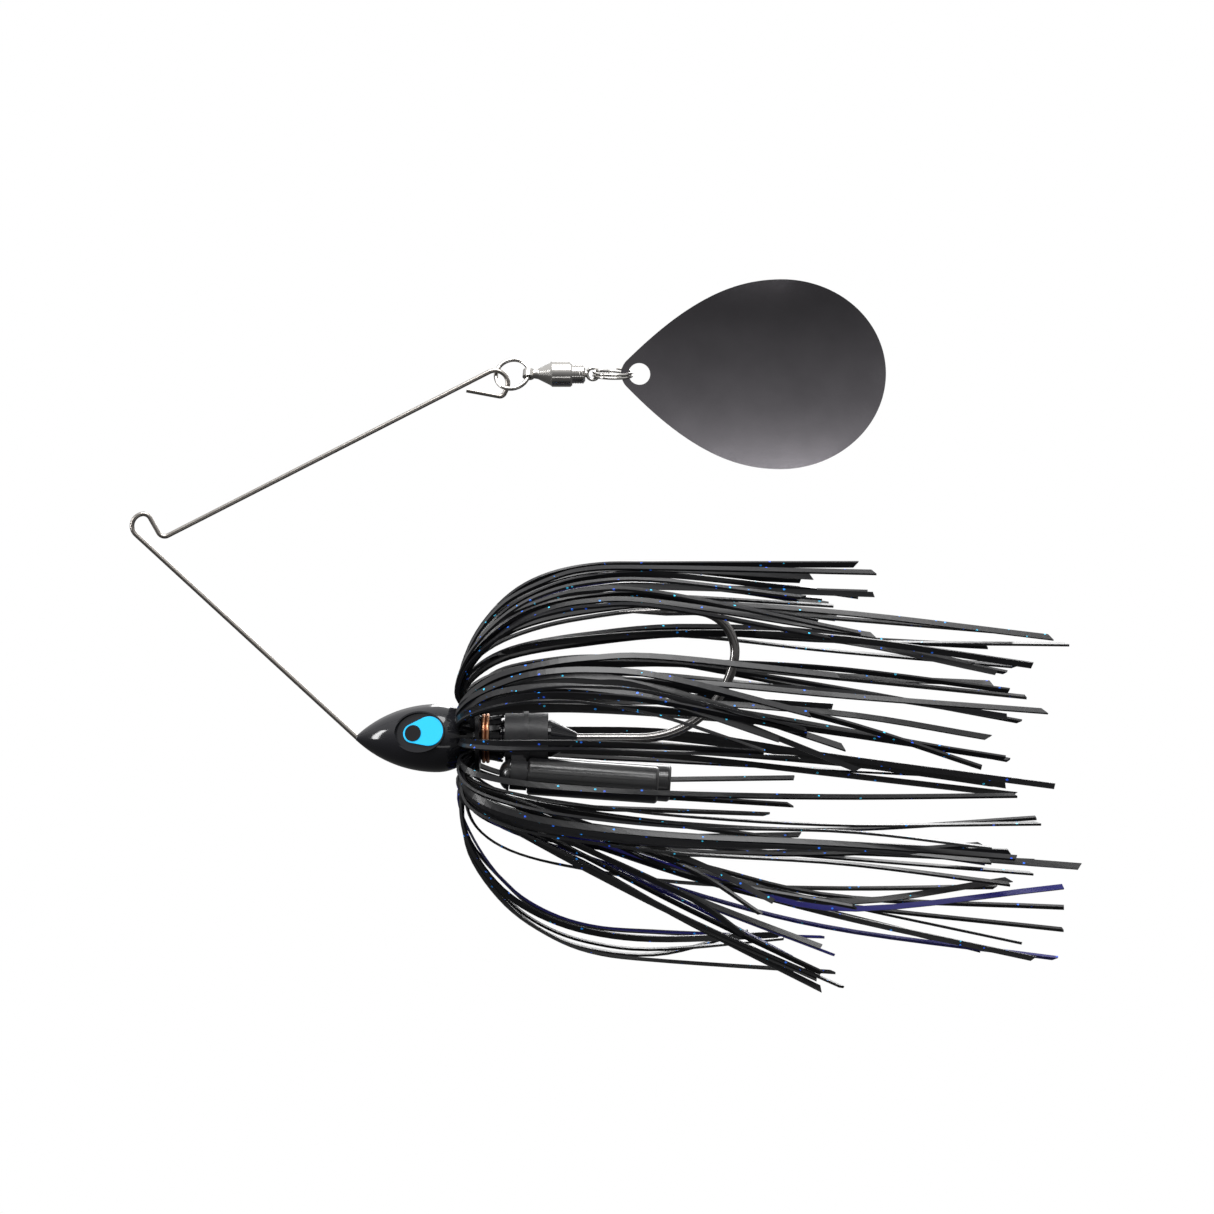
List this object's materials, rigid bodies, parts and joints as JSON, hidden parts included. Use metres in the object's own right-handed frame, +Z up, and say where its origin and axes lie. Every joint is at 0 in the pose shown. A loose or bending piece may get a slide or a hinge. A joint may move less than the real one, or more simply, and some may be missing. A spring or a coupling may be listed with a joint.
{
  "type": "spinnerbait",
  "caption": "Safety-pin wire lure with a bullet head, hook, silicone skirt, twin rattles in a rubber harness and a cupped teardrop blade on a ball-bearing swivel.",
  "frame": {"origin": "line tie: the centre of the bend in the wire", "axes": "+X to the skirt's tail along the hook shank, +Z up to the blade, +Y to the far side"},
  "size_m": [0.1525, 0.0679, 0.1158],
  "materials": {
    "stainless_wire": "bright drawn stainless wire",
    "hook_finish": "polished black nickel",
    "head_paint": "gloss black enamel on lead",
    "eye_blue": "flat bright blue enamel",
    "eye_black": "gloss black",
    "skirt_silicone": "black silicone with blue glitter",
    "copper_wire": "bare copper",
    "harness_rubber": "satin black rubber",
    "rattle_shell": "gloss black moulded plastic",
    "steel_balls": "plain steel",
    "bright_nickel": "bright nickel plate",
    "black_nickel": "smooth black nickel plate"
  },
  "bodies": {
    "root": {"wire_frame": "stainless_wire", "hook": "hook_finish", "head_casting": "head_paint", "skirt_root": "skirt_silicone", "skirt_tie_wire": "copper_wire", "rattle_harness": "harness_rubber", "eye_inlay_near": "eye_blue", "eye_pupil_near": "eye_black", "rattle_tube_near": "rattle_shell", "rattle_plug_near": "rattle_shell", "eye_inlay_far": "eye_blue", "eye_pupil_far": "eye_black", "rattle_tube_far": "rattle_shell", "rattle_plug_far": "rattle_shell", "skirt_lock_01": "skirt_silicone", "skirt_lock_02": "skirt_silicone", "skirt_lock_03": "skirt_silicone", "skirt_lock_04": "skirt_silicone", "skirt_lock_05": "skirt_silicone", "skirt_lock_06": "skirt_silicone", "skirt_lock_07": "skirt_silicone", "skirt_lock_08": "skirt_silicone", "skirt_lock_09": "skirt_silicone", "skirt_lock_10": "skirt_silicone", "skirt_lock_11": "skirt_silicone", "skirt_lock_12": "skirt_silicone", "skirt_lock_13": "skirt_silicone", "skirt_lock_14": "skirt_silicone", "skirt_lock_15": "skirt_silicone", "skirt_lock_16": "skirt_silicone"},
    "ring": {"front_ring": "bright_nickel"},
    "swivel": {"swivel_shell": "bright_nickel", "swivel_cap": "bright_nickel"},
    "balls": {"bearing_balls": "steel_balls"},
    "spindle": {"swivel_spindle": "bright_nickel"},
    "split": {"split_ring": "bright_nickel"},
    "blade": {"blade": "black_nickel"},
    "shot_near": {"rattle_shot_near": "steel_balls"},
    "shot_far": {"rattle_shot_far": "steel_balls"}
  },
  "joints": [
    {"name": "ring_swing", "type": "hinge", "parent": "root", "child": "ring", "pos_m": [0.0608, 0.00003, 0.02487], "axis": [-0.4255, 0.483, 0.7653], "range_deg": [-20, 20]},
    {"name": "swivel_swing", "type": "hinge", "parent": "ring", "child": "swivel", "pos_m": [0.06539, -0.00041, 0.0258], "axis": [0.0891, 0.4454, 0.8909], "range_deg": [-40, 40]},
    {"name": "spindle_spin", "type": "hinge", "parent": "swivel", "child": "spindle", "pos_m": [0.072, -0.00041, 0.0258], "axis": [1, 0, 0], "continuous": true},
    {"name": "balls_orbit", "type": "hinge", "parent": "swivel", "child": "balls", "pos_m": [0.0711, -0.00041, 0.0258], "axis": [1, 0, 0], "continuous": true},
    {"name": "split_ring_swing", "type": "hinge", "parent": "spindle", "child": "split", "pos_m": [0.07646, -0.00041, 0.0258], "axis": [0, 0.9781, 0.2079], "range_deg": [-25, 25]},
    {"name": "blade_swing", "type": "hinge", "parent": "split", "child": "blade", "pos_m": [0.08255, -0.00041, 0.0258], "axis": [0, 0, 1], "range_deg": [-45, 3]},
    {"name": "shot_near_slide", "type": "slide", "parent": "root", "child": "shot_near", "axis": [0.9976, 0, -0.0698], "range_m": [-0.0055, 0]},
    {"name": "shot_far_slide", "type": "slide", "parent": "root", "child": "shot_far", "axis": [0.9976, 0, -0.0698], "range_m": [-0.0055, 0]}
  ],
  "couplings": [
    {"joint": "balls_orbit", "follows": "spindle_spin", "ratio": 0.5}
  ]
}
